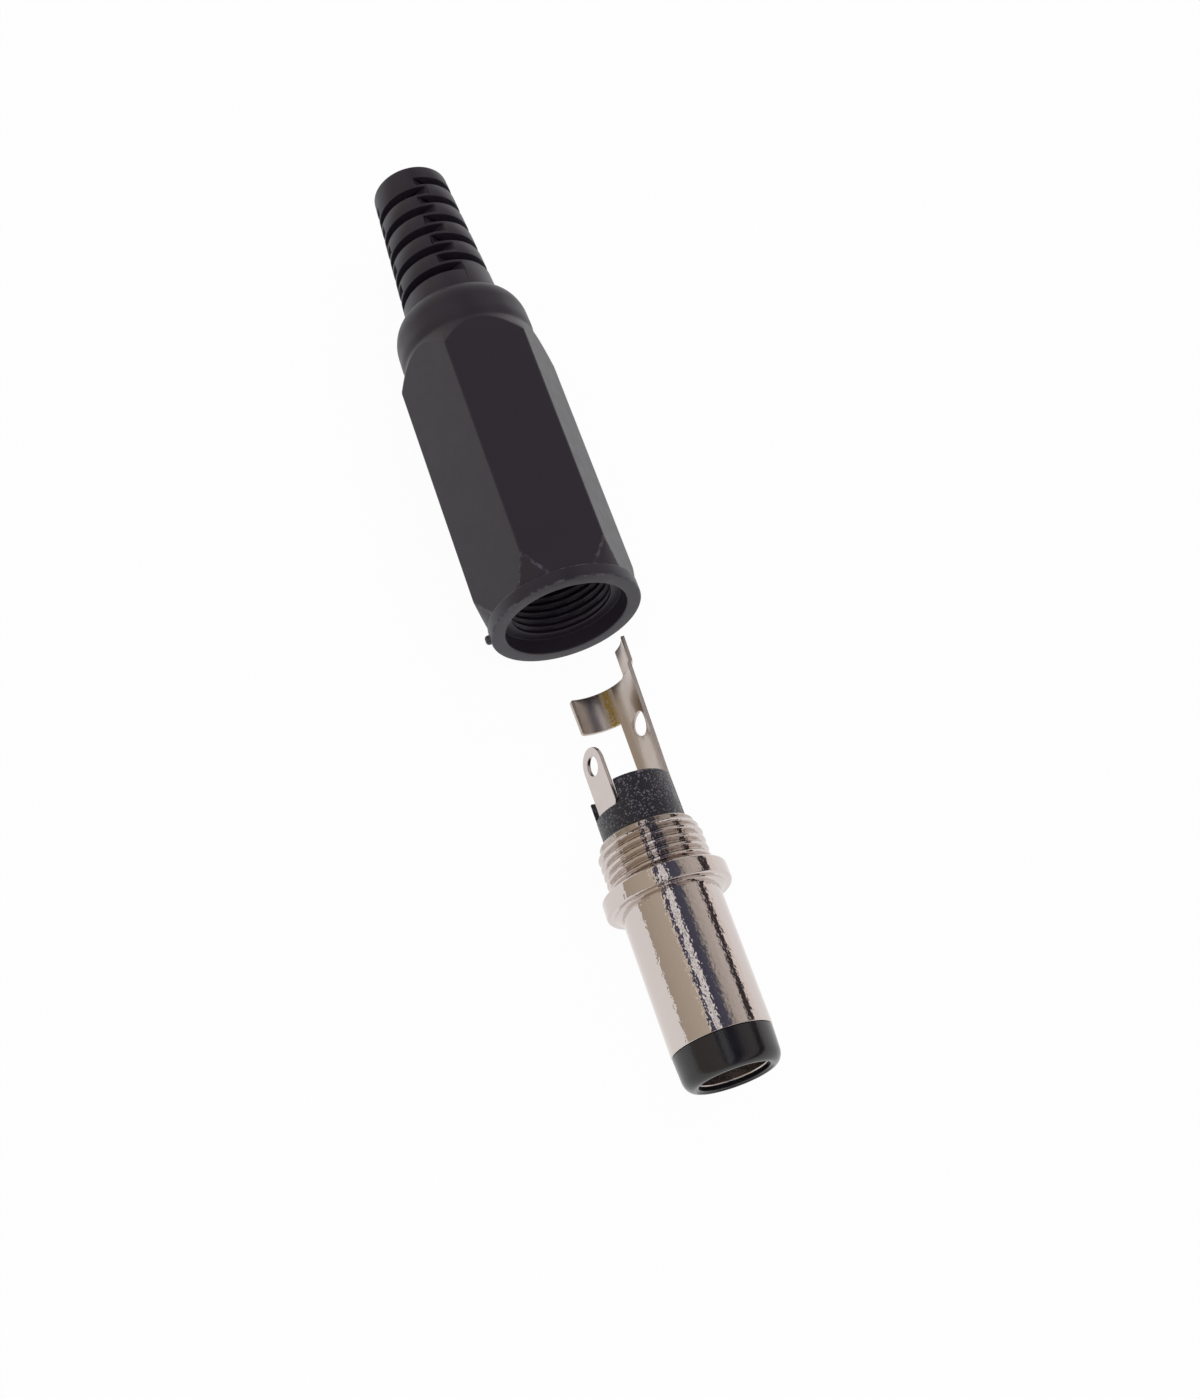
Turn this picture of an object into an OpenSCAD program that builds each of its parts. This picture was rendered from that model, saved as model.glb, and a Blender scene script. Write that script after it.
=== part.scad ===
// Barrel power plug, 7.4 x 5.0 mm class, with its screw-on shell drawn back.
// The plug's axis is X: the nose points to +X and the cable leaves towards -X.
// The origin is on that axis at the root of the barrel, in front of the flange.
// Angles round the axis are counted from the top (+Z) towards +Y.

/* [Barrel] */
// Outside diameter of the contact barrel
barrel_d = 7.4; // [6.9:0.1:8]
// Length of the bare barrel, from its root to the nose ring
barrel_len = 10.5; // [9:0.1:13]
// Bore through the barrel
barrel_bore_d = 6.4; // [6.2:0.05:6.5]
// Diameter of the flange
flange_d = 9.4; // [8.8:0.1:10]
// Thickness of the flange
flange_t = 1.4; // [1:0.1:2.2]
// Height of the step in front of the flange
step_t = 0.2; // [0.1:0.05:0.5]
// Diameter of the step in front of the flange
step_d = 8.3; // [8.1:0.1:8.6]
// Crest diameter of the thread behind the flange
thread_d = 7.84; // [7.7:0.02:8.2]
// Depth of the thread
thread_depth = 0.32; // [0.2:0.02:0.36]
// Pitch of the thread
thread_pitch = 0.65; // [0.5:0.05:0.8]
// Number of thread crests
thread_turns = 5; // [4:1:7]
// Length of the plain lead behind the thread
lead_len = 0.55; // [0.4:0.05:1]

/* [Nose insulator] */
// Diameter of the nose ring where it meets the barrel
nose_d = 7.3; // [6.9:0.05:7.4]
// Length of the nose ring
nose_len = 2.6; // [2:0.1:4]
// Moulding draft on the nose ring, per side
nose_draft = 0.12; // [0.05:0.01:0.2]
// Radius of the nose ring's front edge
nose_round = 0.9; // [0.4:0.05:1]
// Wall of the liner tube inside the barrel
liner_wall = 0.32; // [0.2:0.02:0.4]
// Thickness of the lip in front of the contact sleeve
nose_lip_t = 0.4; // [0.3:0.05:0.8]
// Opening in that lip
nose_hole_d = 5.2; // [5.1:0.05:5.3]

/* [Contacts] */
// Bore of the contact sleeve
sleeve_bore_d = 5; // [4.9:0.02:5.06]
// Width of the sleeve's spring slits
slit_w = 0.4; // [0.2:0.05:0.8]
// Length of the sleeve's spring slits
slit_len = 8; // [4:0.5:10]
// Angle of the slits round the axis
slit_angle = 75; // [0:5:180]
// Diameter of the centre pin
pin_d = 0.6; // [0.5:0.05:0.9]
// Depth of the pin's tip behind the nose
pin_recess = 1.9; // [1.5:0.1:4]
// Length of the pin's insulating bush
bush_len = 5; // [3:0.5:8]

/* [Rear insulator] */
// Diameter of the rear insulator
insulator_d = 6.2; // [6.1:0.02:6.28]
// Length of the insulator behind the barrel
insulator_len = 3.8; // [3:0.1:6]
// Wall of the insulator's cup
insulator_wall = 0.55; // [0.45:0.05:0.7]
// Depth of the insulator's cup
cup_depth = 3.2; // [2.4:0.1:3.6]
// Depth of the notch beside the lug
notch_depth = 1.85; // [1:0.05:2.3]
// Width of the notch beside the lug
notch_w = 3.9; // [3.2:0.1:4.4]
// Radius of the notch's corners
notch_round = 0.5; // [0.2:0.1:0.9]

/* [Solder lug] */
// Angle of the lug round the axis
lug_angle = -73; // [-90:1:-60]
// Width of the lug
lug_w = 2.8; // [2.2:0.1:3]
// Reach of the lug behind the insulator
lug_reach = 3.5; // [2.5:0.1:5]
// Wire hole in the lug
lug_hole_d = 1.5; // [1:0.1:1.8]
// Distance of the lug's plate from the axis
lug_offset = 2.2; // [2:0.05:2.3]
// Width of the lug's neck
neck_w = 1.8; // [1.2:0.1:2]

/* [Cable clamp] */
// Sheet thickness of the clamp and the lug
sheet_t = 0.3; // [0.2:0.02:0.34]
// Angle of the clamp's strip round the axis
clamp_angle = 107; // [90:1:120]
// Angle that the strip wraps round the axis
strip_wrap = 70; // [50:1:80]
// Length of the strip, from the barrel to the ear's rear edge
strip_len = 13.3; // [11:0.1:16]
// Lean of the free strip, away from the axis
strip_lean = 1.6; // [0:0.1:1.8]
// Hole in the strip
strip_hole_d = 1.9; // [1.2:0.1:2.4]
// Distance from the strip hole to the ear's rear edge
strip_hole_back = 4.2; // [3.6:0.1:6]
// Width of the crimp ear along the axis
ear_w = 3.1; // [2:0.1:4]
// Angle that the ear wraps beyond the strip
ear_wrap = 58; // [30:1:90]
// Length of the end tab beyond the ear
tab_len = 2.4; // [1:0.1:3]
// Angle that the end tab wraps
tab_wrap = 41; // [25:1:50]
// Outward step of the end tab
tab_step = 0.16; // [0.05:0.01:0.2]
// Length of the rolled collar that sits in the barrel
collar_len = 1.7; // [1:0.1:1.9]

/* [Shell] */
// Overall length of the shell
shell_len = 44.6; // [42:0.1:50]
// Width of the hexagon across its flats
hex_flats = 11.4; // [11:0.1:13]
// Diameter of the rim round the mouth
rim_d = 12.1; // [11.8:0.1:12.6]
// Length of the rim round the mouth
rim_len = 1.1; // [0.8:0.1:1.4]
// Distance from the mouth to the full hexagon
hex_front = 3.3; // [3:0.1:4]
// Distance from the mouth to the hexagon's rear end
hex_rear = 23.6; // [22:0.1:24.5]
// Diameter of the round shoulder behind the hexagon
shoulder_d = 11.4; // [11:0.1:12]
// Distance from the mouth to the front of the shoulder
shoulder_front = 26; // [25.6:0.1:27]
// Length of the shoulder, to the root of the tail
shoulder_len = 4.1; // [3.6:0.1:5]
// Radius of the shoulder's rear edge
shoulder_round = 1.7; // [1:0.1:2]
// Diameter at the root of the tail
tail_root_d = 8.2; // [7.8:0.1:8.6]
// Diameter at the end of the tail
tail_end_d = 6.5; // [6.2:0.1:7]
// Bore for the cable
cable_bore_d = 4.8; // [4.6:0.1:5]
// Depth of the counterbore that takes the flange
seat_depth = 1.3; // [0.8:0.1:1.3]
// Length of the threaded bore behind the counterbore
thread_bore_len = 4.9; // [4.5:0.1:7]
// Wall of the shell round the cavity, at the flats
shell_wall = 1.75; // [1.6:0.05:1.75]
// Distance from the mouth to the end of the straight cavity
cavity_end = 25.4; // [24:0.1:26.5]
// Length of the cavity's taper
cavity_taper = 4.2; // [3:0.1:5]
// Width of a bend-relief slot
slot_w = 0.85; // [0.5:0.05:0.95]
// Distance between neighbouring rows of slots
slot_pitch = 1.14; // [1.1:0.01:1.2]
// Number of rows of slots
slot_rows = 10; // [4:1:10]
// Plain band between the tail's end and the first slot
end_band = 1.4; // [1:0.1:2]
// Distance of a slot's floor from the axis
slot_floor = 2.05; // [1.9:0.05:2.2]
// Distance that the shell is drawn back from its seat
shell_travel = 23.9; // [22:0.1:30]

/* [Fits] */
// Gap between pieces that are pressed together
press_gap = 0.03; // [0.02:0.01:0.05]
// Gap between the flange and its counterbore
seat_gap = 0.15; // [0.1:0.01:0.3]
// Gap between the thread's crests and the shell's bore
thread_gap = 0.08; // [0.05:0.01:0.1]
// Gap left between the flange and its seat when the shell is home
stop_gap = 0.05; // [0.02:0.01:0.1]

/* [Hidden] */
$fn = 96;

// A cut runs this far past the face it starts from.
past = 0.5;

// Stations along the axis.
flange_front = -step_t;
flange_rear = flange_front - flange_t;
thread_groove = 0.2;
thread_rear = flange_rear - thread_groove - thread_turns * thread_pitch;
barrel_rear = thread_rear - lead_len;
nose_front = barrel_len + nose_len;
sleeve_front = nose_front - nose_lip_t - press_gap;
lug_ring_front = barrel_rear + collar_len + 0.35;
sleeve_rear = lug_ring_front + press_gap;
spigot_front = lug_ring_front - sheet_t - press_gap;
insulator_rear = barrel_rear - insulator_len;
cup_floor = insulator_rear + cup_depth;
lug_end = insulator_rear - lug_reach;
clamp_rear = barrel_rear - strip_len;
mouth = flange_rear + seat_depth - stop_gap - shell_travel;

// Radii that follow from the fits.
barrel_bore_r = barrel_bore_d / 2;
liner_r = barrel_bore_r - press_gap;
sleeve_r = liner_r - liner_wall - press_gap;
sleeve_bore_r = sleeve_bore_d / 2;
strip_r = barrel_bore_r - press_gap - sheet_t;
spigot_r = strip_r - 2 * press_gap;
pin_hole_r = pin_d / 2 + press_gap;
hex_corner_r = hex_flats / 2 / cos(30);
cavity_r = hex_flats / 2 - shell_wall;
thread_bore_r = thread_d / 2 + thread_gap;
seat_r = flange_d / 2 + seat_gap;

// Colours of the finishes.
black_plastic = [0.13, 0.12, 0.14];
nickel = [0.75, 0.71, 0.69];

// Turns what is drawn along Z so that it lies along the plug's axis.
module on_axis() rotate([0, 90, 0]) children();

// Turns what is drawn towards +X so that it faces an angle round the axis.
module facing(angle) rotate([0, 0, 180 - angle]) children();

// A round tube between two stations.
module tube(outer_r, inner_r, rear, front)
    difference() {
        translate([0, 0, rear]) cylinder(r = outer_r, h = front - rear);
        translate([0, 0, rear - past]) cylinder(r = inner_r, h = front - rear + 2 * past);
    }

// A wedge round the axis, from one angle to another, between two stations.
module wedge(from_angle, to_angle, rear, front) {
    reach = shell_len;
    steps = 6;
    span = to_angle - from_angle;
    translate([0, 0, rear]) linear_extrude(front - rear)
        polygon(concat([[0, 0]], [for (i = [0 : steps])
            reach * [cos(from_angle + span * i / steps), sin(from_angle + span * i / steps)]]));
}

// Points of an arc, from one angle to another.
function arc(centre_r, centre_z, radius, from_angle, to_angle, steps = 12) =
    [for (i = [0 : steps]) let (a = from_angle + (to_angle - from_angle) * i / steps)
        [centre_r + radius * cos(a), centre_z + radius * sin(a)]];

// The turned barrel: bare tube, step, flange and thread in one piece of brass.
module barrel() {
    crest = thread_d / 2;
    root = crest - thread_depth;
    crest_w = thread_pitch * 0.2;
    edge = 0.2;
    rear_rim_r = barrel_bore_r + 0.16;
    color(nickel) on_axis() rotate_extrude() polygon(concat(
        [[barrel_bore_r, barrel_rear], [rear_rim_r, barrel_rear],
         [root, barrel_rear + lead_len * 0.4], [root, thread_rear]],
        [for (i = [0 : thread_turns - 1]) let (z = thread_rear + i * thread_pitch) each
            [[crest, z + (thread_pitch - crest_w) / 2], [crest, z + (thread_pitch + crest_w) / 2],
             [root, z + thread_pitch]]],
        [[root, flange_rear], [flange_d / 2 - edge, flange_rear],
         [flange_d / 2, flange_rear + edge], [flange_d / 2, flange_front - edge],
         [flange_d / 2 - edge, flange_front], [step_d / 2, flange_front], [step_d / 2, 0],
         [barrel_d / 2, 0], [barrel_d / 2, barrel_len - edge / 2],
         [barrel_d / 2 - edge / 2, barrel_len], [barrel_bore_r, barrel_len]]));
}

// The moulded nose: a rounded ring in front of the barrel and a liner tube inside it.
module nose_insulator() {
    nose_r = nose_d / 2;
    front_r = nose_r - nose_draft;
    hole_r = nose_hole_d / 2;
    liner_in_r = liner_r - liner_wall;
    hole_edge = 0.12;
    ring_rear = barrel_len + press_gap;
    color(black_plastic) on_axis() rotate_extrude() polygon(concat(
        [[liner_in_r, sleeve_rear], [liner_r, sleeve_rear], [liner_r, ring_rear], [nose_r, ring_rear]],
        arc(front_r - nose_round, nose_front - nose_round, nose_round, 0, 90),
        [[hole_r + hole_edge, nose_front], [hole_r, nose_front - hole_edge],
         [hole_r, nose_front - nose_lip_t], [liner_in_r, nose_front - nose_lip_t]]));
}

// The inner contact: a sprung sleeve, slit across its front.
module contact_sleeve()
    color(nickel) on_axis() difference() {
        tube(sleeve_r, sleeve_bore_r, sleeve_rear, sleeve_front);
        facing(slit_angle) translate([-2 * sleeve_r, -slit_w / 2, sleeve_front - slit_len])
            cube([4 * sleeve_r, slit_w, slit_len + past]);
    }

// The bush that holds the centre pin in the middle of the sleeve.
module pin_bush()
    color(black_plastic) on_axis()
        tube(sleeve_bore_r - press_gap, pin_hole_r, sleeve_rear, sleeve_rear + bush_len);

// The centre pin, with a pointed tip in front and a plain tail in the insulator's cup.
module centre_pin() {
    pin_r = pin_d / 2;
    tip_len = pin_d / 2;
    tail_out = 1.4;
    color(nickel) on_axis() rotate_extrude() polygon([
        [0, cup_floor - tail_out], [pin_r, cup_floor - tail_out],
        [pin_r, nose_front - pin_recess - tip_len], [pin_r / 2, nose_front - pin_recess],
        [0, nose_front - pin_recess]]);
}

// The rear insulator: a cup with a spigot in the clamp's collar and a notch for the lug.
module rear_insulator() {
    body_r = insulator_d / 2;
    slot_gap = 2 * press_gap;
    color(black_plastic) on_axis() difference() {
        union() {
            translate([0, 0, insulator_rear])
                cylinder(r = body_r, h = barrel_rear - insulator_rear - press_gap);
            translate([0, 0, cup_floor]) cylinder(r = spigot_r, h = spigot_front - cup_floor);
        }
        translate([0, 0, insulator_rear - past])
            cylinder(r = body_r - insulator_wall, h = cup_depth + past);
        translate([0, 0, cup_floor - past])
            cylinder(r = pin_hole_r, h = spigot_front - cup_floor + 2 * past);
        // Way through the floor for the lug's neck.
        facing(lug_angle)
            translate([lug_offset - (sheet_t + slot_gap) / 2, -(neck_w + slot_gap) / 2, cup_floor - past])
                cube([sheet_t + slot_gap, neck_w + slot_gap, spigot_front - cup_floor + 2 * past]);
        facing(lug_angle) notch();
        // Shallow seat for the clamp's strip.
        facing(clamp_angle) intersection() {
            tube(2 * body_r, strip_r - press_gap, insulator_rear - past, barrel_rear + past);
            wedge(-strip_wrap / 2 - 1, strip_wrap / 2 + 1, insulator_rear - 2 * past,
                  barrel_rear + 2 * past);
        }
    }
}

// The notch beside the lug, with round corners at its floor.
module notch() {
    floor_z = insulator_rear + notch_depth;
    reach = insulator_d;
    half = notch_w / 2;
    translate([0, -half, insulator_rear - past])
        cube([reach, notch_w, notch_depth + past - notch_round]);
    translate([0, -half + notch_round, insulator_rear])
        cube([reach, notch_w - 2 * notch_round, notch_depth]);
    for (side = [-1, 1])
        translate([0, side * (half - notch_round), floor_z - notch_round])
            rotate([0, 90, 0]) cylinder(r = notch_round, h = reach);
}

// The solder lug: a ring behind the sleeve and a flat tag with a round end and a wire hole.
module solder_lug() {
    ring_r = lug_offset + 0.35;
    ring_hole_r = 1.2;
    end_r = lug_w / 2;
    plate_x = lug_offset - sheet_t / 2;
    tag_root = insulator_rear + notch_depth - 0.15;
    color(nickel) on_axis() {
        tube(ring_r, ring_hole_r, lug_ring_front - sheet_t, lug_ring_front);
        facing(lug_angle) difference() {
            union() {
                translate([plate_x, -neck_w / 2, tag_root - end_r])
                    cube([sheet_t, neck_w, lug_ring_front - tag_root + end_r]);
                translate([plate_x, -end_r, lug_end + end_r])
                    cube([sheet_t, lug_w, tag_root - lug_end - end_r]);
                translate([plate_x, 0, lug_end + end_r]) rotate([0, 90, 0])
                    cylinder(r = end_r, h = sheet_t);
            }
            translate([plate_x - past, 0, lug_end + end_r]) rotate([0, 90, 0])
                cylinder(d = lug_hole_d, h = sheet_t + 2 * past);
        }
    }
}

// The cable clamp: collar, curved strip, crimp ear and end tab, stamped and rolled in one piece.
module cable_clamp() {
    half = strip_wrap / 2;
    ear_rear = clamp_rear;
    ear_front = ear_rear + ear_w;
    collar_rear = barrel_rear + 0.2;
    ear_end = 360 - half - ear_wrap;
    color(nickel) on_axis() facing(clamp_angle) difference() {
        union() {
            rolled_sheet(0, ear_rear, collar_rear + collar_len);
            intersection() {
                rolled_sheet(tab_step, ear_rear - tab_len, ear_rear + sheet_t);
                wedge(half - tab_wrap, half, ear_rear - 2 * tab_len, ear_front);
            }
        }
        // Open side of the roll, past the ear.
        wedge(half, ear_end, ear_rear - 2 * tab_len, collar_rear);
        // Window between the ear and the collar.
        wedge(ear_end - 1, 360 - half, ear_front, collar_rear);
        translate([0, 0, ear_rear + strip_hole_back]) rotate([0, 90, 0])
            cylinder(d = strip_hole_d, h = 3 * strip_r);
    }
}

// A sheet rolled round the axis, flared behind the insulator by the strip's lean.
module rolled_sheet(step, rear, front) {
    bend = min(insulator_rear, front);
    flare = (bend - rear) * tan(strip_lean);
    start = (insulator_rear - bend) * tan(strip_lean);
    inner = strip_r + step + start;
    rotate_extrude() polygon([
        [inner, front], [inner + sheet_t, front], [inner + sheet_t, bend],
        [inner + sheet_t + flare, rear], [inner + flare, rear], [inner, bend]]);
}

// Outline of the round parts of the shell: rim, waist, shoulder and tapering tail.
module shell_round() {
    rim_r = rim_d / 2;
    core_r = hex_flats / 2 - 0.3;
    rim_edge = 0.12;
    shoulder_r = shoulder_d / 2;
    tail_root = shoulder_front + shoulder_len;
    root_fillet = 0.5;
    end_edge = 0.15;
    rotate_extrude() polygon(concat(
        [[0, 0], [rim_r - rim_edge, 0], [rim_r, -rim_edge], [rim_r, -rim_len],
         [core_r, -rim_len - rim_edge], [core_r, -shoulder_front],
         [shoulder_r - 0.15, -shoulder_front],
         [shoulder_r, -shoulder_front - 0.6]],
        arc(shoulder_r - shoulder_round, -tail_root + root_fillet + shoulder_round,
            shoulder_round, 0, -80),
        [[tail_root_d / 2 + root_fillet, -tail_root + root_fillet / 3],
         [tail_root_d / 2, -tail_root - root_fillet], [tail_end_d / 2, -shell_len + end_edge],
         [tail_end_d / 2 - end_edge, -shell_len], [0, -shell_len]]));
}

// The hexagonal grip, with its corners turned off at both ends.
module shell_grip() {
    front_r = rim_d / 2 - 0.15;
    rear_r = shoulder_d / 2 - 0.15;
    corner_r = hex_corner_r + 0.01;
    grip_front = rim_len - 0.1;
    intersection() {
        translate([0, 0, -shoulder_front]) rotate([0, 0, 30])
            cylinder(r = hex_corner_r, h = shoulder_front - grip_front, $fn = 6);
        rotate_extrude() polygon([
            [0, -grip_front], [front_r, -grip_front], [corner_r, -hex_front],
            [corner_r, -hex_rear], [rear_r, -shoulder_front], [0, -shoulder_front]]);
    }
}

// Everything that is hollow in the shell: flange seat, threaded bore, cavity and cable bore.
module shell_hollow() {
    thread_end = seat_depth + thread_bore_len;
    cable_r = cable_bore_d / 2;
    mouth_edge = 0.12;
    rotate_extrude() polygon([
        [0, past], [seat_r + mouth_edge + past, past], [seat_r + mouth_edge, 0],
        [seat_r, -mouth_edge], [seat_r, -seat_depth],
        [thread_bore_r, -seat_depth], [thread_bore_r, -thread_end],
        [cavity_r, -thread_end], [cavity_r, -cavity_end],
        [cable_r, -cavity_end - cavity_taper], [cable_r, -shell_len - past], [0, -shell_len - past]]);
}

// The rows of bend-relief slots, each row a pair of opposite cuts, turned 90 degrees from the last.
module shell_slots()
    for (row = [0 : slot_rows - 1], side = [0, 180])
        facing((row % 2 == 0 ? 45 : -45) + side)
            translate([slot_floor, -tail_root_d, -shell_len + end_band + row * slot_pitch])
                cube([tail_root_d, 2 * tail_root_d, slot_w]);

// The moulded shell, one piece from its mouth to the end of its bend-relief tail.
module shell() {
    gate_angle = -105;
    gate_r = 0.38;
    gate_len = 0.4;
    color(black_plastic) on_axis() translate([0, 0, mouth]) difference() {
        union() {
            shell_round();
            shell_grip();
            // Stub left by the mould's gate.
            facing(gate_angle) translate([rim_d / 2 - gate_len, 0, -rim_len / 2])
                rotate([0, 90, 0]) cylinder(r = gate_r, h = 2 * gate_len);
        }
        shell_hollow();
        shell_slots();
    }
}

shell();
barrel();
nose_insulator();
contact_sleeve();
pin_bush();
centre_pin();
rear_insulator();
solder_lug();
cable_clamp();
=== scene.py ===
"""Looks of a 7.4 x 5.0 mm barrel power plug with its screw-on shell drawn back.

Lengths are in millimetres while a piece is being made, and become metres when it is finished. The plug's
axis is X with the nose towards +X. Angles round the axis are counted from the top, +Z, towards +Y.
"""

import logging
import math
from collections.abc import Callable, Iterable, Sequence
from dataclasses import dataclass, field
from enum import Enum
from typing import Any

import bmesh
import bpy
from mathutils import Matrix, Vector


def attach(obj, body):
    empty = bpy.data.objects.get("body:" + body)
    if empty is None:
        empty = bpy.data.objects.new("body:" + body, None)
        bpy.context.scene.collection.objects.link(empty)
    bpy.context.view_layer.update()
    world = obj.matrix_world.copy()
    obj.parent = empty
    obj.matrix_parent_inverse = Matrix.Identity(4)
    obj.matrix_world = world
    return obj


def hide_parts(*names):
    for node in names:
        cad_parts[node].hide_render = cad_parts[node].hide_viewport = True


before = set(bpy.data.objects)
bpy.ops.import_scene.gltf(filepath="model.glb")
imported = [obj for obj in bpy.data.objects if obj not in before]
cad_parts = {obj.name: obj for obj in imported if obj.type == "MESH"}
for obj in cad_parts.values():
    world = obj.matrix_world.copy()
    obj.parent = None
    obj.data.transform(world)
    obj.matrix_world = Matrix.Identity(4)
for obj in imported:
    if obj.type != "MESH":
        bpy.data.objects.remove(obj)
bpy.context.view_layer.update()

log = logging.getLogger("dc_plug")

MM = 0.001
WEAR = "wear"
# A corner of an outline: station along the axis, radius or width, and the size of its rounding.
Corner = tuple[float, float, float]


class Cut(Enum):
    """How two closed skins are combined."""

    JOIN = "UNION"
    REMOVE = "DIFFERENCE"
    KEEP_COMMON = "INTERSECT"


# ---------------------------------------------------------------------------------------------- shaping


def facing(angle: float) -> Matrix:
    """Turn that takes what points up, +Z, to an angle round the axis.

    Args:
        angle: Angle in degrees, from +Z towards +Y.

    Returns:
        The rotation as a 4 x 4 matrix.
    """
    return Matrix.Rotation(-math.radians(angle), 4, "X")


def outline(corners: Sequence[Corner], flat: bool = False) -> bmesh.types.BMesh:
    """Draws a closed outline as one face and rounds its corners.

    Args:
        corners: Station, radius and rounding of each corner. With flat, the radius is a width along Y.
        flat: Whether the outline lies in the XY plane, and not in XZ.

    Returns:
        A bmesh with one face.
    """
    bm = bmesh.new()
    verts = [bm.verts.new((x, r, 0.0) if flat else (x, 0.0, r)) for x, r, _ in corners]
    bm.faces.new(verts)
    for size in sorted({c[2] for c in corners if c[2] > 0.0}):
        picked = [v for v, c in zip(verts, corners) if c[2] == size]
        bmesh.ops.bevel(bm, geom=picked, offset=size, offset_type="OFFSET", segments=6 + int(8 * size),
                        profile=0.5, affect="VERTICES", clamp_overlap=False, material=-1)
    return bm


def add_rings(bm: bmesh.types.BMesh, rear: float, front: float, radius: float, count: int) -> None:
    """Divides the straight stretch of an outline between two stations, for rings that a thread can use.

    Args:
        bm: The outline.
        rear: Rear station of the stretch.
        front: Front station of the stretch.
        radius: Radius of the stretch.
        count: How many rings to add.
    """
    near = 0.02
    picked = [e for e in bm.edges
              if all(rear - near <= v.co.x <= front + near and abs(v.co.z - radius) < near for v in e.verts)
              and e.calc_length() > (front - rear) / 2]
    bmesh.ops.subdivide_edges(bm, edges=picked, cuts=count)


def revolve(bm: bmesh.types.BMesh, steps: int = 192) -> bmesh.types.BMesh:
    """Turns an outline about the axis into a closed skin.

    Args:
        bm: The outline, which is used up.
        steps: Facets round the axis.

    Returns:
        The same bmesh, with the skin.
    """
    bmesh.ops.delete(bm, geom=bm.faces[:], context="FACES_ONLY")
    bmesh.ops.spin(bm, geom=bm.verts[:] + bm.edges[:], cent=(0, 0, 0), axis=(1, 0, 0), angle=math.tau,
                   steps=steps, use_merge=True)
    bmesh.ops.remove_doubles(bm, verts=bm.verts[:], dist=1e-4)
    bmesh.ops.recalc_face_normals(bm, faces=bm.faces[:])
    return bm


def thicken(bm: bmesh.types.BMesh, low: float, high: float) -> bmesh.types.BMesh:
    """Raises a flat outline into a plate between two heights.

    Args:
        bm: The outline, in the XY plane.
        low: Height of the plate's underside.
        high: Height of its top.

    Returns:
        The same bmesh, with the closed plate.
    """
    bmesh.ops.translate(bm, verts=bm.verts[:], vec=(0, 0, low))
    raised = bmesh.ops.extrude_face_region(bm, geom=bm.faces[:])["geom"]
    bmesh.ops.translate(bm, verts=[g for g in raised if isinstance(g, bmesh.types.BMVert)],
                        vec=(0, 0, high - low))
    bmesh.ops.recalc_face_normals(bm, faces=bm.faces[:])
    return bm


def block(low: Sequence[float], high: Sequence[float], turn: Matrix | None = None) -> bmesh.types.BMesh:
    """A rectangular cutter between two corners.

    Args:
        low: Lowest corner.
        high: Highest corner.
        turn: Turn given to the block afterwards.

    Returns:
        The closed block.
    """
    bm = bmesh.new()
    size = [h - l for l, h in zip(low, high)]
    middle = [(h + l) / 2 for l, h in zip(low, high)]
    bmesh.ops.create_cube(bm, size=1.0, matrix=Matrix.Translation(middle) @ Matrix.Diagonal((*size, 1.0)))
    bmesh.ops.transform(bm, matrix=turn or Matrix.Identity(4), verts=bm.verts[:])
    return bm


def rod(radius: float, low: float, high: float, place: Matrix, steps: int = 48) -> bmesh.types.BMesh:
    """A round cutter or stub that stands on Z before it is placed.

    Args:
        radius: Radius of the rod.
        low: Height of its lower end.
        high: Height of its upper end.
        place: Where it goes.
        steps: Facets round it.

    Returns:
        The closed rod.
    """
    bm = bmesh.new()
    bmesh.ops.create_cone(bm, cap_ends=True, segments=steps, radius1=radius, radius2=radius, depth=high - low,
                          matrix=place @ Matrix.Translation((0, 0, (low + high) / 2)))
    return bm


def merged(parts: Iterable[bmesh.types.BMesh]) -> bmesh.types.BMesh:
    """Puts separate closed skins that don't touch into one bmesh.

    Args:
        parts: The skins, which are used up.

    Returns:
        One bmesh with all of them.
    """
    whole = bmesh.new()
    for part in parts:
        scrap = bpy.data.meshes.new("scrap")
        part.to_mesh(scrap)
        part.free()
        whole.from_mesh(scrap)
        bpy.data.meshes.remove(scrap)
    return whole


def combine(base: bmesh.types.BMesh, tool: bmesh.types.BMesh, how: Cut) -> bmesh.types.BMesh:
    """Joins, cuts or intersects two closed skins.

    Args:
        base: The skin that is worked on, which is used up.
        tool: The skin that works on it, which is used up.
        how: What is done.

    Returns:
        The resulting skin.
    """
    made = []
    for name, bm in (("base", base), ("tool", tool)):
        mesh = bpy.data.meshes.new(name)
        bm.to_mesh(mesh)
        bm.free()
        made.append(bpy.data.objects.new(name, mesh))
        bpy.context.scene.collection.objects.link(made[-1])
    boolean = made[0].modifiers.new("combine", "BOOLEAN")
    boolean.operation = how.value
    boolean.solver = "EXACT"
    boolean.object = made[1]
    result = bmesh.new()
    result.from_object(made[0], bpy.context.evaluated_depsgraph_get())
    for scrap in made:
        mesh = scrap.data
        bpy.data.objects.remove(scrap)
        bpy.data.meshes.remove(mesh)
    bmesh.ops.remove_doubles(result, verts=result.verts[:], dist=0.004)
    bmesh.ops.dissolve_degenerate(result, edges=result.edges[:], dist=0.004)
    return result


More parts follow.
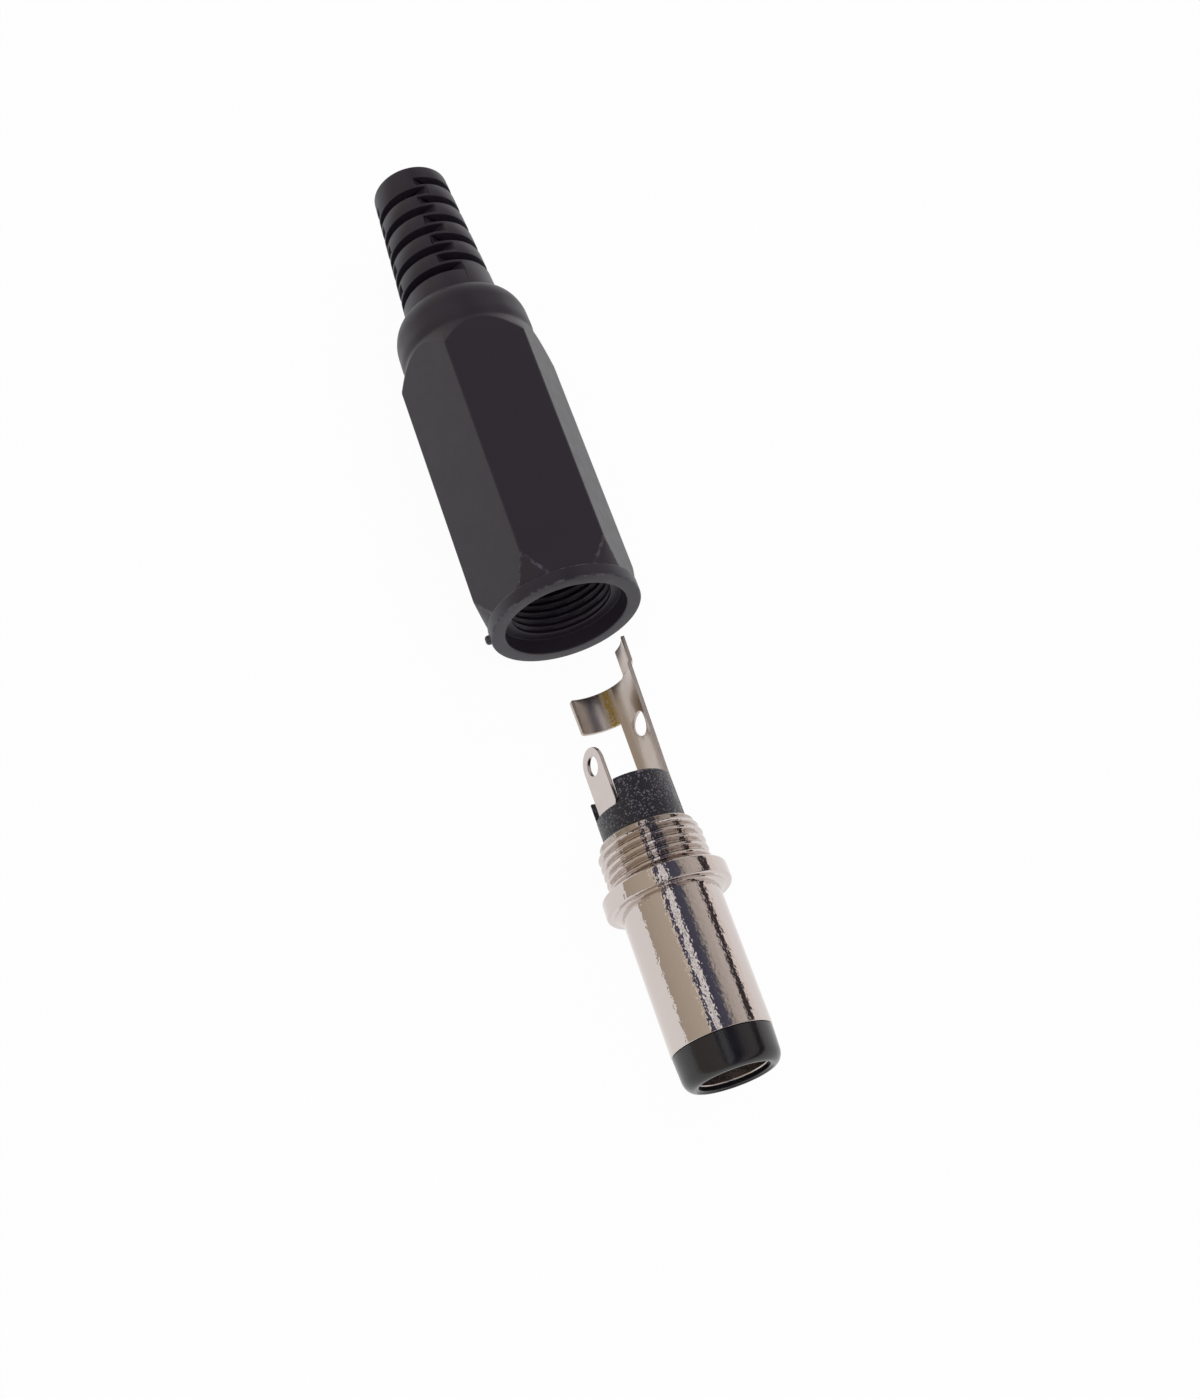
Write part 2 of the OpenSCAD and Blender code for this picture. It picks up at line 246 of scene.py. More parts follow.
def break_edges(bm: bmesh.types.BMesh, width: float, least: float,
                where: Callable[[Vector], bool] = lambda middle: True, segments: int = 3) -> None:
    """Rounds the edges that are sharper than an angle.

    Args:
        bm: The skin.
        width: Size of the rounding.
        least: Least angle between two faces, in degrees, at an edge that is rounded.
        where: Says of an edge's middle whether the edge counts.
        segments: Steps in the rounding.
    """
    limit = math.radians(least)
    picked = [e for e in bm.edges if len(e.link_faces) == 2 and e.calc_face_angle() > limit
              and where((e.verts[0].co + e.verts[1].co) / 2)]
    bmesh.ops.bevel(bm, geom=picked, offset=width, offset_type="OFFSET", segments=segments, profile=0.5,
                    affect="EDGES", clamp_overlap=False, material=-1)


def mark_worn(bm: bmesh.types.BMesh, largest: float, where: Callable[[Vector], bool]) -> None:
    """Marks the small faces of rounded edges as rubbed by hands and handling.

    Args:
        bm: The skin.
        largest: Largest width of a face that is marked, in millimetres.
        where: Says of a face's middle whether the face counts.
    """
    wear = bm.faces.layers.float.get(WEAR) or bm.faces.layers.float.new(WEAR)
    for face in bm.faces:
        widest = face.calc_area() / max(edge.calc_length() for edge in face.edges)
        face[wear] = 1.0 if widest < largest and where(face.calc_center_median()) else 0.0


def smooth_step(low: float, high: float, value: float) -> float:
    """Share of the way from low to high, eased at both ends.

    Args:
        low: Value at which the share is 0.
        high: Value at which it is 1.
        value: The value asked about.

    Returns:
        A share from 0 to 1.
    """
    share = min(1.0, max(0.0, (value - low) / (high - low)))
    return share * share * (3.0 - 2.0 * share)


@dataclass(frozen=True)
class ScrewThread:
    """A right-hand screw thread raised on a round wall, or sunk into one."""

    rear: float
    front: float
    wall_r: float
    lift: float
    pitch: float = 0.65
    run_out: float = 0.45

    def cut(self, bm: bmesh.types.BMesh) -> None:
        """Moves the wall's rings in and out along the helix.

        Args:
            bm: The skin, with rings close enough together to hold the thread.
        """
        for vert in bm.verts:
            station, radius = vert.co.x, math.hypot(vert.co.y, vert.co.z)
            if abs(radius - self.wall_r) > 0.03 or not self.rear < station < self.front:
                continue
            turn = math.atan2(vert.co.y, vert.co.z) / math.tau
            phase = ((station - self.rear) / self.pitch + turn) % 1.0
            flank = 1.0 - abs(2.0 * phase - 1.0)
            fade = min(1.0, (station - self.rear) / self.run_out, (self.front - station) / self.run_out)
            grown = 1.0 + self.lift * fade * smooth_step(0.1, 0.85, flank) / radius
            vert.co.y *= grown
            vert.co.z *= grown


def finish_piece(name: str, bm: bmesh.types.BMesh, material: bpy.types.Material, body: str,
                 nodes: Sequence[str], crease: float = 40.0) -> bpy.types.Object:
    """Turns a skin into a finished piece that stands for CAD nodes.

    Args:
        name: Name of the piece.
        bm: Its skin in millimetres, which is used up.
        material: Its finish.
        body: The body that it rides on.
        nodes: The CAD nodes that it stands for.
        crease: Angle in degrees past which an edge is shaded sharp.

    Returns:
        The piece's object.
    """
    bmesh.ops.scale(bm, vec=(MM, MM, MM), verts=bm.verts[:])
    mesh = bpy.data.meshes.new(name)
    bm.to_mesh(mesh)
    bm.free()
    mesh.shade_smooth()
    mesh.set_sharp_from_angle(angle=math.radians(crease))
    mesh.materials.append(material)
    piece = bpy.data.objects.new(name, mesh)
    bpy.context.scene.collection.objects.link(piece)
    weighted = piece.modifiers.new("even shading", "WEIGHTED_NORMAL")
    weighted.keep_sharp = True
    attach(piece, body)
    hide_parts(*nodes)
    log.info("%s: %d faces, stands for %s", name, len(mesh.polygons), ", ".join(nodes))
    return piece


# --------------------------------------------------------------------------------------------- finishes


def linear(code: str, alpha: float = 1.0) -> tuple[float, float, float, float]:
    """Turns an sRGB hex colour into linear values.

    Args:
        code: Six hex digits.
        alpha: Opacity to go with them.

    Returns:
        Red, green, blue and alpha.
    """
    srgb = [int(code[i:i + 2], 16) / 255.0 for i in (0, 2, 4)]
    red, green, blue = (c / 12.92 if c <= 0.04045 else ((c + 0.055) / 1.055) ** 2.4 for c in srgb)
    return red, green, blue, alpha


def per_metre(size: float) -> float:
    """Texture scale whose cells are about a size in millimetres across."""
    return 1.0 / (size * MM)


def add_node(tree: bpy.types.NodeTree, kind: str, inputs: dict[str | int, Any] | None = None,
             **settings: Any) -> bpy.types.Node:
    """Adds one shader node with its settings and links.

    Args:
        tree: The node tree.
        kind: The node's type, without its ShaderNode prefix.
        inputs: Value of, or socket linked to, each input.
        **settings: The node's own properties.

    Returns:
        The node.
    """
    node = tree.nodes.new("ShaderNode" + kind)
    for key, value in settings.items():
        setattr(node, key, value)
    for key, value in (inputs or {}).items():
        if isinstance(value, bpy.types.NodeSocket):
            tree.links.new(value, node.inputs[key])
        else:
            node.inputs[key].default_value = value
    return node


def colour_steps(tree: bpy.types.NodeTree, value: Any,
                 stops: Sequence[tuple[float, str]]) -> bpy.types.NodeSocket:
    """Colours a value by a ramp.

    Args:
        tree: The node tree.
        value: The socket that is coloured.
        stops: Place and hex colour of each stop.

    Returns:
        The ramp's colour socket.
    """
    node = add_node(tree, "ValToRGB", {"Fac": value})
    ramp = node.color_ramp
    while len(ramp.elements) < len(stops):
        ramp.elements.new(1.0)
    for element, (place, code) in zip(ramp.elements, stops):
        element.position = place
        element.color = linear(code)
    return node.outputs["Color"]


def new_material(name: str) -> tuple[bpy.types.Material, bpy.types.NodeTree, bpy.types.Node,
                                     bpy.types.NodeSocket]:
    """Starts a material with one principled shader.

    Args:
        name: Name of the finish.

    Returns:
        The material, its tree, its shader and its Object coordinates.
    """
    material = bpy.data.materials.new(name)
    material.use_nodes = True
    tree = material.node_tree
    tree.nodes.clear()
    shader = add_node(tree, "BsdfPrincipled")
    add_node(tree, "OutputMaterial", {"Surface": shader.outputs["BSDF"]})
    place = add_node(tree, "TexCoord").outputs["Object"]
    return material, tree, shader, place


def mix_colour(tree: bpy.types.NodeTree, share: Any, first: Any, second: Any) -> bpy.types.NodeSocket:
    """Blends two colours.

    Args:
        tree: The node tree.
        share: How much of the second colour shows, as a value or socket.
        first: First colour.
        second: Second colour.

    Returns:
        The blended colour's socket.
    """
    node = add_node(tree, "Mix", {0: share, 6: first, 7: second}, data_type="RGBA")
    return node.outputs[2]


def maths(tree: bpy.types.NodeTree, what: str, *values: Any, clamp: bool = False) -> bpy.types.NodeSocket:
    """Works out one sum of values or sockets.

    Args:
        tree: The node tree.
        what: The operation's name.
        *values: What it works on.
        clamp: Whether the result is kept from 0 to 1.

    Returns:
        The result's socket.
    """
    node = add_node(tree, "Math", dict(enumerate(values)), operation=what, use_clamp=clamp)
    return node.outputs[0]


def noise(tree: bpy.types.NodeTree, place: Any, size: float, detail: float = 2.0,
          roughness: float = 0.5) -> bpy.types.NodeSocket:
    """Even noise with features of a real size.

    Args:
        tree: The node tree.
        place: The coordinates.
        size: Size of a feature in millimetres.
        detail: Levels of finer noise.
        roughness: Weight of the finer levels.

    Returns:
        The noise's value socket.
    """
    node = add_node(tree, "TexNoise", {"Vector": place, "Scale": per_metre(size), "Detail": detail,
                                       "Roughness": roughness})
    return node.outputs["Fac"]


def bump(tree: bpy.types.NodeTree, height: Any, depth: float, strength: float = 1.0,
         below: Any | None = None) -> bpy.types.NodeSocket:
    """Turns heights into a normal.

    Args:
        tree: The node tree.
        height: The height's socket.
        depth: Height of a full step in millimetres.
        strength: Share of the effect.
        below: Normal that this one is laid over.

    Returns:
        The normal's socket.
    """
    inputs = {"Height": height, "Distance": depth * MM, "Strength": strength}
    if below is not None:
        inputs["Normal"] = below
    return add_node(tree, "Bump", inputs).outputs["Normal"]


@dataclass(frozen=True)
class SparkErodedShell:
    """Black ABS from a spark-eroded mould: satin, faintly grainy, paler where its edges are rubbed."""

    name: str = "black ABS, spark-eroded satin"
    colour: str = "201A25"
    blotch: str = "251F2A"
    rubbed: str = "8A8590"
    roughness: float = 0.44
    grain: float = 0.16  # width of one grain of the eroded skin

    def material(self) -> bpy.types.Material:
        """Builds the finish."""
        material, tree, shader, place = new_material(self.name)
        patches = noise(tree, place, 3.0, 4.0)
        base = mix_colour(tree, patches, linear(self.colour), linear(self.blotch))
        edge = add_node(tree, "Attribute", attribute_name=WEAR).outputs["Fac"]
        broken = maths(tree, "MULTIPLY_ADD", noise(tree, place, 0.7, 6.0, 0.7), 4.0, -1.8, clamp=True)
        rubbed = maths(tree, "MULTIPLY", maths(tree, "MULTIPLY", edge, broken), 0.4, clamp=True)
        tree.links.new(mix_colour(tree, rubbed, base, linear(self.rubbed)), shader.inputs["Base Color"])
        grain = noise(tree, place, self.grain, 3.0, 0.6)
        spread = maths(tree, "MULTIPLY_ADD", noise(tree, place, 1.1, 3.0), 0.12, self.roughness - 0.06)
        tree.links.new(spread, shader.inputs["Roughness"])
        tree.links.new(bump(tree, grain, 0.006), shader.inputs["Normal"])
        shader.inputs["IOR"].default_value = 1.48
        return material


@dataclass(frozen=True)
class GlossNose:
    """Black PBT from a polished mould: nearly glossy, with a light pull in its skin."""

    name: str = "black PBT, polished mould"
    colour: str = "0F0E12"
    roughness: float = 0.2

    def material(self) -> bpy.types.Material:
        """Builds the finish."""
        material, tree, shader, place = new_material(self.name)
        tone = mix_colour(tree, noise(tree, place, 1.6, 3.0), linear(self.colour), linear("16141A"))
        tree.links.new(tone, shader.inputs["Base Color"])
        spread = maths(tree, "MULTIPLY_ADD", noise(tree, place, 0.5, 4.0), 0.16, self.roughness - 0.08)
        tree.links.new(spread, shader.inputs["Roughness"])
        tree.links.new(bump(tree, noise(tree, place, 0.22, 3.0), 0.008), shader.inputs["Normal"])
        shader.inputs["IOR"].default_value = 1.55
        return material


@dataclass(frozen=True)
class GlassFilledInsulator:
    """Black glass-filled nylon: dull, with ends of fibre that sparkle in its skin."""

    name: str = "black glass-filled nylon"
    colour: str = "17151F"
    fibre: str = "A5A1AE"
    roughness: float = 0.38
    fleck: float = 0.1  # width of a fibre's end, drawn coarser than life so that it shows

    def material(self) -> bpy.types.Material:
        """Builds the finish."""
        material, tree, shader, place = new_material(self.name)
        cells = add_node(tree, "TexVoronoi", {"Vector": place, "Scale": per_metre(self.fleck)})
        bright = maths(tree, "GREATER_THAN", add_node(tree, "SeparateColor", {
            "Color": cells.outputs["Color"]}).outputs["Red"], 0.84)
        patches = noise(tree, place, 0.9, 3.0)
        share = maths(tree, "MULTIPLY", maths(tree, "MULTIPLY", bright, patches), 0.5)
        tree.links.new(mix_colour(tree, share, linear(self.colour), linear(self.fibre)),
                       shader.inputs["Base Color"])
        rough = maths(tree, "MULTIPLY_ADD", bright, -0.16, self.roughness)
        tree.links.new(rough, shader.inputs["Roughness"])
        skin = bump(tree, noise(tree, place, 0.13, 4.0, 0.7), 0.035)
        tree.links.new(skin, shader.inputs["Normal"])
        shader.inputs["IOR"].default_value = 1.53
        return material


@dataclass(frozen=True)
class BrightNickel:
    """Bright nickel over turned brass: mirror-like, with the orange-peel ripple of barrel plating."""

    name: str = "bright nickel on turned brass"
    colour: str = "CDC3BF"
    # Colour of the painted shade in the thread's roots.
    root_shade_colour: str = "8F8376"
    roughness: float = 0.05
    peel: float = 0.3  # width of one ripple of the plating
    groove_r: float = 3.62  # radius of the thread's roots, below which shade is painted

    def material(self) -> bpy.types.Material:
        """Builds the finish."""
        material, tree, shader, place = new_material(self.name)
        split = add_node(tree, "SeparateXYZ", {"Vector": place})
        out_y, out_z = split.outputs["Y"], split.outputs["Z"]
        radius = maths(tree, "SQRT", maths(tree, "ADD", maths(tree, "MULTIPLY", out_y, out_y),
                                           maths(tree, "MULTIPLY", out_z, out_z)))
        # Painted shade: below the thread's root radius and behind the flange the colour is darkened, standing
        # in for the shade in the thread's roots.
        low = maths(tree, "LESS_THAN", radius, (self.groove_r + 0.05) * MM)
        behind = maths(tree, "LESS_THAN", split.outputs["X"], -1.6 * MM)
        painted_root_shade = maths(tree, "MULTIPLY", maths(tree, "MULTIPLY", low, behind),
                      maths(tree, "MULTIPLY_ADD", noise(tree, place, 0.4, 4.0), 0.9, 0.1), clamp=True)
        tree.links.new(mix_colour(tree, painted_root_shade, linear(self.colour), linear(self.root_shade_colour)),
                       shader.inputs["Base Color"])
        shader.inputs["Metallic"].default_value = 1.0
        patches = noise(tree, place, 2.2, 4.0, 0.6)
        spread = maths(tree, "MULTIPLY_ADD", patches, 0.08, self.roughness - 0.04)
        tree.links.new(spread, shader.inputs["Roughness"])
        tree.links.new(bump(tree, noise(tree, place, self.peel, 1.0), 0.022), shader.inputs["Normal"])
        return material


@dataclass(frozen=True)
class StampedTag:
    """Nickel over stamped sheet brass: warm and softly mirrored, with flux left where it was soldered."""

    name: str = "nickel on stamped brass"
    colour: str = "C8BDB6"
    shade: str = "B5A9A0"
    flux: str = "B79A4C"
    roughness: float = 0.3
    stain: tuple[float, float, float, float] | None = None  # angles and stations that the flux lies between

    def material(self) -> bpy.types.Material:
        """Builds the finish."""
        material, tree, shader, place = new_material(self.name)
        tone = mix_colour(tree, noise(tree, place, 1.8, 4.0), linear(self.colour), linear(self.shade))
        rough: Any = maths(tree, "MULTIPLY_ADD", noise(tree, place, 0.7, 4.0), 0.12, self.roughness - 0.06)
        height: Any = noise(tree, place, 0.5, 3.0)
        if self.stain is not None:
            tone, rough, height = self.add_flux(tree, place, tone, rough, height)
        tree.links.new(tone, shader.inputs["Base Color"])
        tree.links.new(rough, shader.inputs["Roughness"])
        tree.links.new(bump(tree, height, 0.008), shader.inputs["Normal"])
        shader.inputs["Metallic"].default_value = 1.0
        return material

    def add_flux(self, tree: bpy.types.NodeTree, place: Any, tone: Any, rough: Any,
                 height: Any) -> tuple[Any, Any, Any]:
        """Lays the speckled flux stain over the metal.

        Args:
            tree: The node tree.
            place: The coordinates.
            tone: The metal's colour.
            rough: The metal's roughness.
            height: The metal's heights.

        Returns:
            Colour, roughness and heights with the stain in them.
        """
        from_angle, to_angle, rear, front = self.stain
        split = add_node(tree, "SeparateXYZ", {"Vector": place})
        station = split.outputs["X"]
        angle = maths(tree, "ARCTAN2", split.outputs["Y"], split.outputs["Z"])
        middle, half = math.radians(from_angle + to_angle) / 2, math.radians(to_angle - from_angle) / 2
        # The angle runs from -180 to 180 degrees, so the middle is taken off and the rest wrapped.
        from_middle = maths(tree, "SUBTRACT", angle, middle)
        off = maths(tree, "ABSOLUTE", maths(tree, "WRAP", from_middle, math.pi, -math.pi))
        ragged = maths(tree, "MULTIPLY_ADD", noise(tree, place, 0.6, 5.0, 0.7), 1.3, -0.45)
        near = maths(tree, "SUBTRACT", 1.0, maths(tree, "DIVIDE", off, half))
        band = maths(tree, "ADD", near, ragged, clamp=True)
        inside = maths(tree, "MULTIPLY", maths(tree, "GREATER_THAN", station, rear * MM),
                       maths(tree, "LESS_THAN", station, front * MM))
        speckle = maths(tree, "GREATER_THAN", noise(tree, place, 0.16, 3.0), 0.44)
        share = maths(tree, "MULTIPLY", maths(tree, "MULTIPLY", band, inside),
                      maths(tree, "MULTIPLY_ADD", speckle, 0.65, 0.3), clamp=True)
        stained = mix_colour(tree, share, tone, linear(self.flux))
        rougher = maths(tree, "MULTIPLY_ADD", share, 0.25, rough)
        crust = maths(tree, "MULTIPLY", maths(tree, "MULTIPLY", share, noise(tree, place, 0.12, 2.0)), 5.0)
        return stained, rougher, maths(tree, "ADD", height, crust)


# ------------------------------------------------------------------------------------------ sub-assemblies


@dataclass
class ContactBarrel:
    """The turned and plated barrel with its flange and screw thread."""

    bore_r: float = 3.2
    tube_r: float = 3.7
    tube_len: float = 10.5
    step_r: float = 4.15
    step_t: float = 0.2
    flange_r: float = 4.7
    flange_t: float = 1.4
    root_r: float = 3.6
    crest_r: float = 3.92
    thread_rear: float = -5.05
    rear: float = -5.6
    rear_rim_r: float = 3.36
    finish: BrightNickel = field(default_factory=BrightNickel)

    def skin(self) -> bmesh.types.BMesh:
        """Turns the barrel and cuts its thread."""
        flange_rear = -self.step_t - self.flange_t
        bm = outline([
            (self.rear, self.bore_r, 0.03), (self.rear, self.rear_rim_r, 0.04),
            (self.rear + 0.22, self.root_r, 0.05), (flange_rear, self.root_r, 0.05),
            (flange_rear, self.flange_r, 0.2), (-self.step_t, self.flange_r, 0.2),
            (-self.step_t, self.step_r, 0.03), (-self.step_t / 2, self.step_r, 0.06),
            (0.0, self.tube_r + 0.12, 0.05), (0.02, self.tube_r, 0.02),
            (self.tube_len, self.tube_r, 0.1), (self.tube_len, self.bore_r, 0.03)])
        add_rings(bm, self.rear + 0.22, flange_rear, self.root_r, 76)
        revolve(bm, 216)
        ScrewThread(rear=self.thread_rear - 0.1, front=flange_rear - 0.1, wall_r=self.root_r,
                    lift=self.crest_r - self.root_r).cut(bm)
        return bm

    def build(self) -> None:
        """Makes the barrel."""
        finish_piece("plated_barrel", self.skin(), self.finish.material(), "plug", ["barrel"])


@dataclass
class Nose:
    """The moulded nose with its liner, the sprung sleeve in it, and the bush and pin in the middle."""

    ring_r: float = 3.65
    ring_front_r: float = 3.53
    ring_rear: float = 10.53
    front: float = 13.1
    front_round: float = 0.9
    hole_r: float = 2.6
    lip_t: float = 0.4
    liner_r: float = 3.17
    liner_in_r: float = 2.85
    rear: float = -3.52
    sleeve_r: float = 2.82
    sleeve_bore_r: float = 2.5
    sleeve_front: float = 12.67
    slit_w: float = 0.4
    slit_len: float = 8.0
    slit_angle: float = 75.0
    plastic: GlossNose = field(default_factory=GlossNose)
    metal: BrightNickel = field(default_factory=lambda: BrightNickel(
        "bright nickel, drawn sleeve", roughness=0.24, peel=0.7))

    def ring_skin(self) -> bmesh.types.BMesh:
        """Turns the nose ring together with its liner."""
        return revolve(outline([
            (self.rear, self.liner_in_r, 0.03), (self.rear, self.liner_r, 0.03),
            (self.ring_rear, self.liner_r, 0.0), (self.ring_rear, self.ring_r, 0.06),
            (self.front, self.ring_front_r, self.front_round),
            (self.front, self.hole_r + 0.22, 0.04), (self.front - 0.1, self.hole_r + 0.14, 0.03),
            (self.front - 0.1, self.hole_r, 0.05), (self.front - self.lip_t, self.hole_r, 0.03),
            (self.front - self.lip_t, self.liner_in_r, 0.0)]))

    def sleeve_skin(self) -> bmesh.types.BMesh:
        """Turns the sleeve and slits its front."""
        tube = revolve(outline([
            (self.rear, self.sleeve_bore_r, 0.03), (self.rear, self.sleeve_r, 0.03),
            (self.sleeve_front, self.sleeve_r, 0.05), (self.sleeve_front, self.sleeve_bore_r, 0.1)]), 144)
        reach = 2 * self.sleeve_r
        slit = block((self.sleeve_front - self.slit_len, -reach, -self.slit_w / 2),
                     (self.sleeve_front + 1.0, reach, self.slit_w / 2), facing(self.slit_angle - 90.0))
        return combine(tube, slit, Cut.REMOVE)

    def build(self) -> None:
        """Makes the nose's pieces and dresses the bush and the pin."""
        plastic = self.plastic.material()
        finish_piece("nose_ring", self.ring_skin(), plastic, "plug", ["nose_insulator"])
        metal = self.metal.material()
        finish_piece("sprung_sleeve", self.sleeve_skin(), metal, "plug", ["contact_sleeve"])
        inner = (("pin_bush", plastic, "nose_plastic"), ("centre_pin", metal, "nickel_plate"))
        for node, material, slot in inner:
            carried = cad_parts[node]
            carried.data.materials.clear()
            carried.data.materials.append(material)
            log.info("%s: carried over from the solids", node)


@dataclass
class RearInsulator:
    """The insulating cup behind the barrel, notched for the lug and relieved for the clamp."""

    body_r: float = 3.1
    rear: float = -9.4
    front: float = -5.63
    cup_r: float = 2.55
    cup_floor: float = -6.2
    spigot_r: float = 2.81
    spigot_front: float = -3.88
    pin_hole_r: float = 0.33
    notch_w: float = 3.9
    notch_depth: float = 1.85
    notch_round: float = 0.4
    lug_angle: float = -73.0
    neck_w: float = 1.86
    neck_low: float = 2.02
    neck_high: float = 2.38
    strip_seat_r: float = 2.84
    strip_from: float = 71.0
    strip_to: float = 143.0
    finish: GlassFilledInsulator = field(default_factory=GlassFilledInsulator)

    def notch(self) -> bmesh.types.BMesh:
        """Cutter for the notch beside the lug."""
        half, floor = self.notch_w / 2, self.rear + self.notch_depth
        plate = thicken(outline([
            (self.rear - 1.0, -half, 0.0), (floor, -half, self.notch_round), (floor, half, self.notch_round),
            (self.rear - 1.0, half, 0.0)], flat=True), 0.0, 2 * self.body_r)
        bmesh.ops.transform(plate, matrix=facing(self.lug_angle), verts=plate.verts[:])
        return plate

    def strip_seat(self) -> bmesh.types.BMesh:
        """Cutter for the shallow seat of the clamp's strip."""
        ring = revolve(outline([
            (self.rear - 1.0, self.strip_seat_r, 0.0), (self.rear - 1.0, self.body_r + 1.0, 0.0),
            (self.front + 0.3, self.body_r + 1.0, 0.0), (self.front + 0.3, self.strip_seat_r, 0.0)]), 160)
        for past_edge in (self.strip_to + 90.0, self.strip_from - 90.0):
            normal = facing(past_edge) @ Vector((0, 0, 1))
            cut = bmesh.ops.bisect_plane(ring, geom=ring.verts[:] + ring.edges[:] + ring.faces[:], dist=1e-4,
                                         plane_co=(0, 0, 0), plane_no=normal, clear_outer=True)
            rim = [g for g in cut["geom_cut"] if isinstance(g, bmesh.types.BMEdge)]
            bmesh.ops.holes_fill(ring, edges=rim)
        bmesh.ops.recalc_face_normals(ring, faces=ring.faces[:])
        return ring

    def skin(self) -> bmesh.types.BMesh:
        """Turns the cup, cuts its notch and seats, and softens its edges."""
        cup = revolve(outline([
            (self.rear, self.cup_r, 0.06), (self.rear, self.body_r, 0.14), (self.front, self.body_r, 0.05),
            (self.front, self.spigot_r, 0.0), (self.spigot_front, self.spigot_r, 0.05),
            (self.spigot_front, self.pin_hole_r, 0.0), (self.cup_floor, self.pin_hole_r, 0.0),
            (self.cup_floor, self.cup_r, 0.1)]))
        slot = block((self.cup_floor - 0.5, -self.neck_w / 2, self.neck_low),
                     (self.spigot_front + 0.5, self.neck_w / 2, self.neck_high), facing(self.lug_angle))
        for tool in (self.notch(), self.strip_seat(), slot):
            cup = combine(cup, tool, Cut.REMOVE)
        break_edges(cup, 0.05, 35.0, lambda middle: middle.x < self.front - 0.3)
        return cup

    def build(self) -> None:
        """Makes the insulator."""
        finish_piece("insulator_cup", self.skin(), self.finish.material(), "plug",
                     ["rear_insulator"])


@dataclass
class SolderLug:
    """The flat tag that brings the sleeve's contact out past the insulator."""

    angle: float = -73.0
    width: float = 2.8
    neck_w: float = 1.8
    end: float = -12.9
    root: float = -7.7
    ring_front: float = -3.55
    ring_r: float = 2.55
    ring_hole_r: float = 1.2
    low: float = 2.05
    high: float = 2.35
    hole_r: float = 0.75
    finish: StampedTag = field(default_factory=lambda: StampedTag(
        "nickel on stamped brass, lug", colour="D6CCC9", shade="C6BCB8", roughness=0.3))

    def skin(self) -> bmesh.types.BMesh:
        """Stamps the tag, turns its ring and joins them."""
        half, neck = self.width / 2, self.neck_w / 2
        plate = thicken(outline([
            (self.end, -half, half * 0.99), (self.root, -half, 0.45), (self.root, -neck, 0.1),
            (self.ring_front, -neck, 0.0), (self.ring_front, neck, 0.0), (self.root, neck, 0.1),
            (self.root, half, 0.45), (self.end, half, half * 0.99)], flat=True), self.low, self.high)
        hole = rod(self.hole_r, self.low - 1.0, self.high + 1.0, Matrix.Translation((self.end + half, 0, 0)))
        plate = combine(plate, hole, Cut.REMOVE)
        break_edges(plate, 0.045, 50.0)
        bmesh.ops.transform(plate, matrix=facing(self.angle), verts=plate.verts[:])
        rear, front = self.ring_front - (self.high - self.low), self.ring_front + 0.001
        ring = revolve(outline([
            (rear, self.ring_hole_r, 0.03), (rear, self.ring_r, 0.03),
            (front, self.ring_r, 0.03), (front, self.ring_hole_r, 0.03)]), 96)
        return combine(plate, ring, Cut.JOIN)

    def build(self) -> None:
        """Makes the lug."""
        finish_piece("lug_tag", self.skin(), self.finish.material(), "plug", ["solder_lug"])


